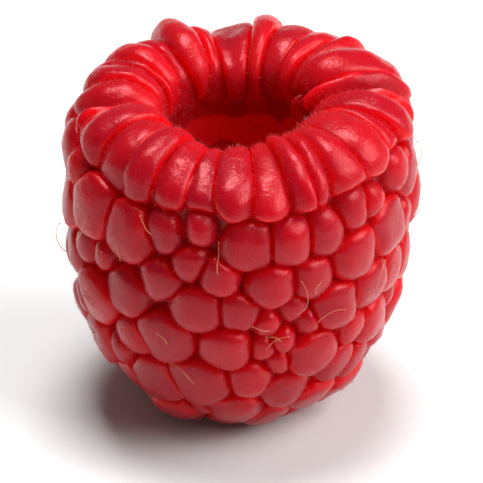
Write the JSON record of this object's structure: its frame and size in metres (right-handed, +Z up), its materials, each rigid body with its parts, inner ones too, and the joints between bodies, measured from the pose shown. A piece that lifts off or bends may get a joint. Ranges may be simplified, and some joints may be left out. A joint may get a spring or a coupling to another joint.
{
  "type": "raspberry",
  "caption": "Ripe picked raspberry: a hollow cup of rounded red drupelets with an open, scalloped mouth, standing on its blunt tip.",
  "frame": {"origin": "under the middle of the fruit, at the centre of its bounding box in plan, on the surface that its flattened tip rests on", "axes": "+Z up through the hollow's open mouth, -Y the front, with the notch in the rim at the back (+Y), +X to the right; the fruit is slightly taller than it is wide, and slightly wider along X than along Y"},
  "size_m": [0.023, 0.0226, 0.0235],
  "materials": {
    "flesh": "satin, slightly translucent fruit skin with a faint bloom"
  },
  "bodies": {
    "root": {"raspberry": "flesh"}
  },
  "joints": []
}
